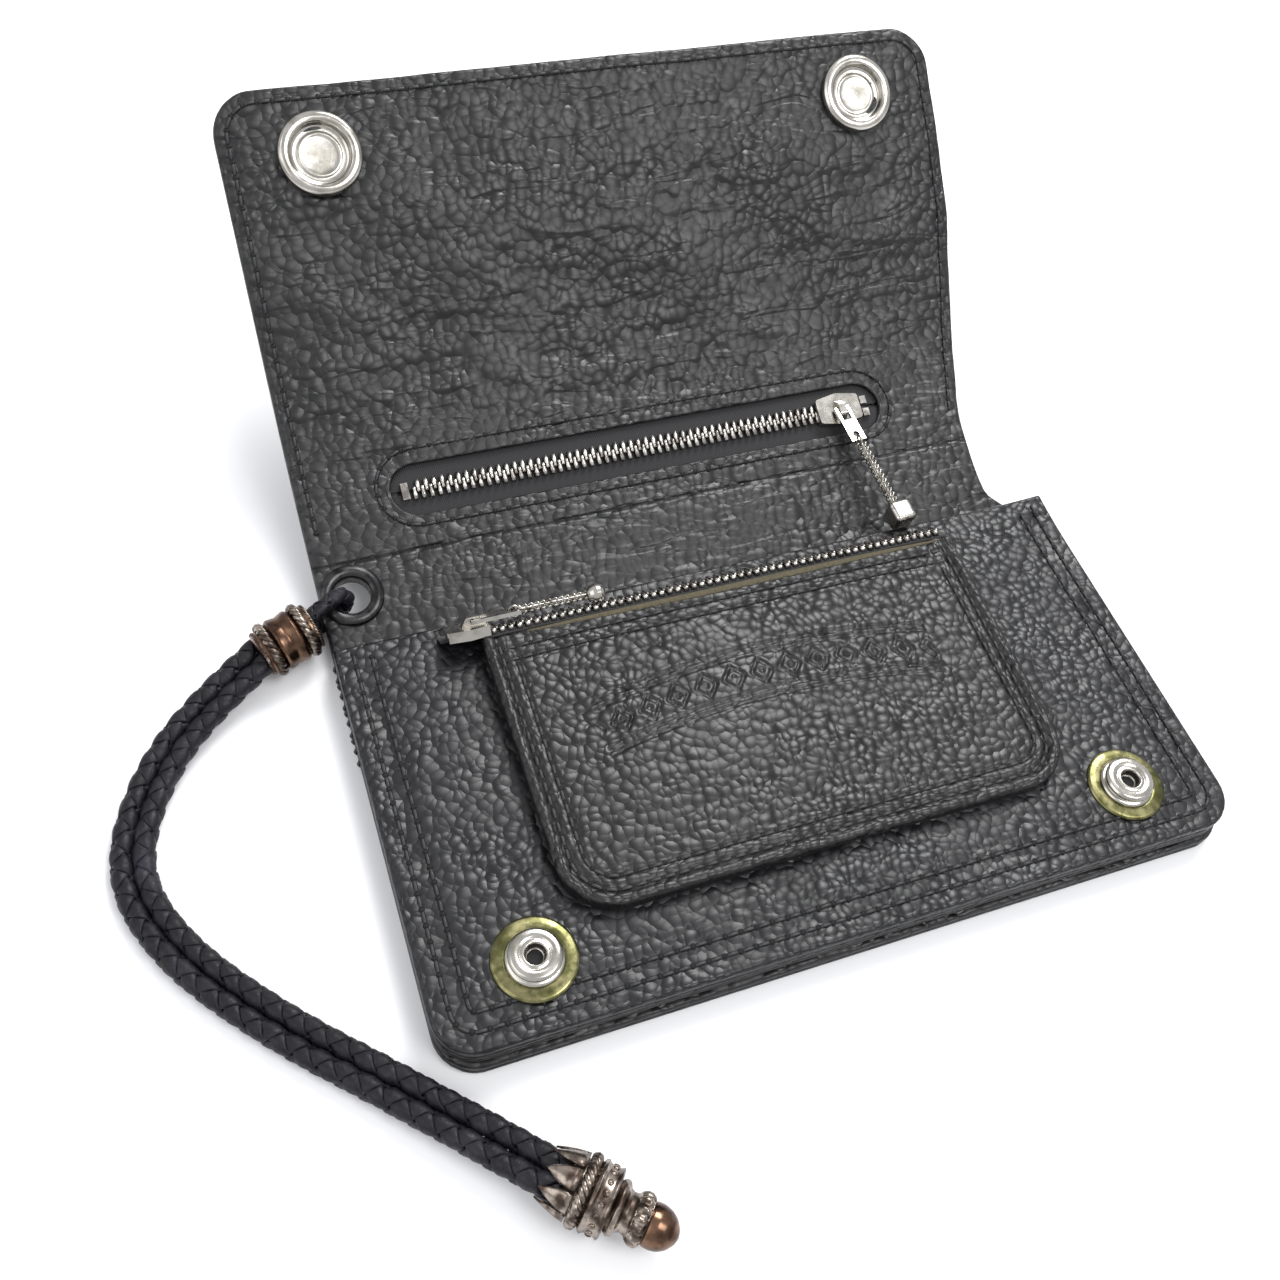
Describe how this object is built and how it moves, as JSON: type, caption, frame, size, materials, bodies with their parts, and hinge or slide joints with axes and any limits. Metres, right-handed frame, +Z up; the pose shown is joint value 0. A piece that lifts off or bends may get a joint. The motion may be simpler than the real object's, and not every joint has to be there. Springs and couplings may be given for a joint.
{
  "type": "chain wallet",
  "caption": "Long leather wallet lying open, with a snap flap, a zipped coin pocket, a zipped flap pocket and a doubled braided wrist strap with a metal end piece.",
  "frame": {"origin": "centre of the open wallet's bounding box without its strap, at the surface it lies on", "axes": "+X along the spine towards the end without the strap, +Y from the front edge to the flap's tip, +Z up out of the opened wallet"},
  "size_m": [0.2061, 0.2196, 0.0624],
  "materials": {
    "cover_leather": "pebbled, soft sheen",
    "lining_leather": "pebbled, soft sheen",
    "pocket_leather": "pebbled, worn at the edges",
    "zip_tape": "woven",
    "zip_metal": "antiqued",
    "pull_silver": "antiqued silver",
    "stud_brass": "dull patina",
    "snap_steel": "worn",
    "gunmetal": "satin",
    "braid_leather": "braided, soft sheen",
    "silver": "antiqued silver",
    "bronze": "dark patina"
  },
  "bodies": {
    "body": {"back_cover": "cover_leather", "back_lining": "lining_leather", "bill_divider": "lining_leather", "card_divider": "lining_leather", "front_panel": "cover_leather", "pocket_front": "pocket_leather", "pocket_gusset": "pocket_leather", "pocket_tape_front": "zip_tape", "pocket_tape_rear": "zip_tape", "pocket_teeth_front": "zip_metal", "pocket_teeth_rear": "zip_metal", "stud_flanges": "stud_brass", "stud_heads": "snap_steel", "strap_loop": "braid_leather", "strap_bead": "bronze", "strap_bead_ropes": "silver", "strap_leg_inner": "braid_leather", "strap_leg_outer": "braid_leather", "finial_cup": "silver", "finial_rope_ring": "silver", "finial_band": "bronze", "finial_neck": "silver", "finial_collar": "silver", "finial_dome": "bronze"},
    "spine": {"spine_cover": "cover_leather", "spine_lining": "lining_leather", "eyelet_front": "gunmetal", "eyelet_washer": "gunmetal"},
    "flap": {"flap_cover": "cover_leather", "flap_lining": "lining_leather", "flap_tape_upper": "zip_tape", "flap_tape_lower": "zip_tape", "flap_teeth_upper": "zip_metal", "flap_teeth_lower": "zip_metal", "flap_zip_stops": "zip_metal", "snap_sockets": "snap_steel", "socket_caps": "snap_steel"},
    "flap_slider": {"flap_slider_shell": "zip_metal", "flap_slider_lug": "zip_metal"},
    "flap_pull": {"flap_pull_tab": "pull_silver"},
    "flap_chain": {"flap_pull_chain": "pull_silver", "flap_pull_bead": "pull_silver"},
    "pocket_slider": {"pocket_slider_shell": "zip_metal", "pocket_slider_lug": "zip_metal"},
    "pocket_pull": {"pocket_pull_tab": "pull_silver", "pocket_pull_chain": "pull_silver", "pocket_pull_ball": "pull_silver"}
  },
  "joints": [
    {"name": "spine_fold", "type": "hinge", "parent": "body", "child": "spine", "pos_m": [0, -0.00132, 0.00277], "axis": [1, 0, 0], "range_deg": [0, 67], "deforming": ["strap_loop"]},
    {"name": "flap_fold", "type": "hinge", "parent": "spine", "child": "flap", "pos_m": [0, 0.01486, 0.00819], "axis": [1, 0, 0], "range_deg": [0, 82.6]},
    {"name": "flap_slider_run", "type": "slide", "parent": "flap", "child": "flap_slider", "axis": [-1, 0, 0], "range_m": [0, 0.09]},
    {"name": "flap_pull_lift", "type": "hinge", "parent": "flap_slider", "child": "flap_pull", "pos_m": [0.042, 0.02225, 0.01473], "axis": [-1, 0, 0], "range_deg": [0, 155]},
    {"name": "flap_chain_lift", "type": "hinge", "parent": "flap_pull", "child": "flap_chain", "pos_m": [0.04261, 0.01333, 0.01368], "axis": [1, 0, 0], "range_deg": [-60, 0]},
    {"name": "pocket_slider_run", "type": "slide", "parent": "body", "child": "pocket_slider", "axis": [1, 0, 0], "range_m": [0, 0.094]},
    {"name": "pocket_pull_lift", "type": "hinge", "parent": "pocket_slider", "child": "pocket_pull", "pos_m": [-0.0533, -0.01178, 0.01406], "axis": [0, 0.766, -0.6428], "range_deg": [-100, 0]}
  ],
  "couplings": [
    {"joint": "spine_fold", "follows": "flap_fold", "ratio": 0.811},
    {"joint": "flap_pull_lift", "follows": "flap_fold", "ratio": 1.87}
  ]
}
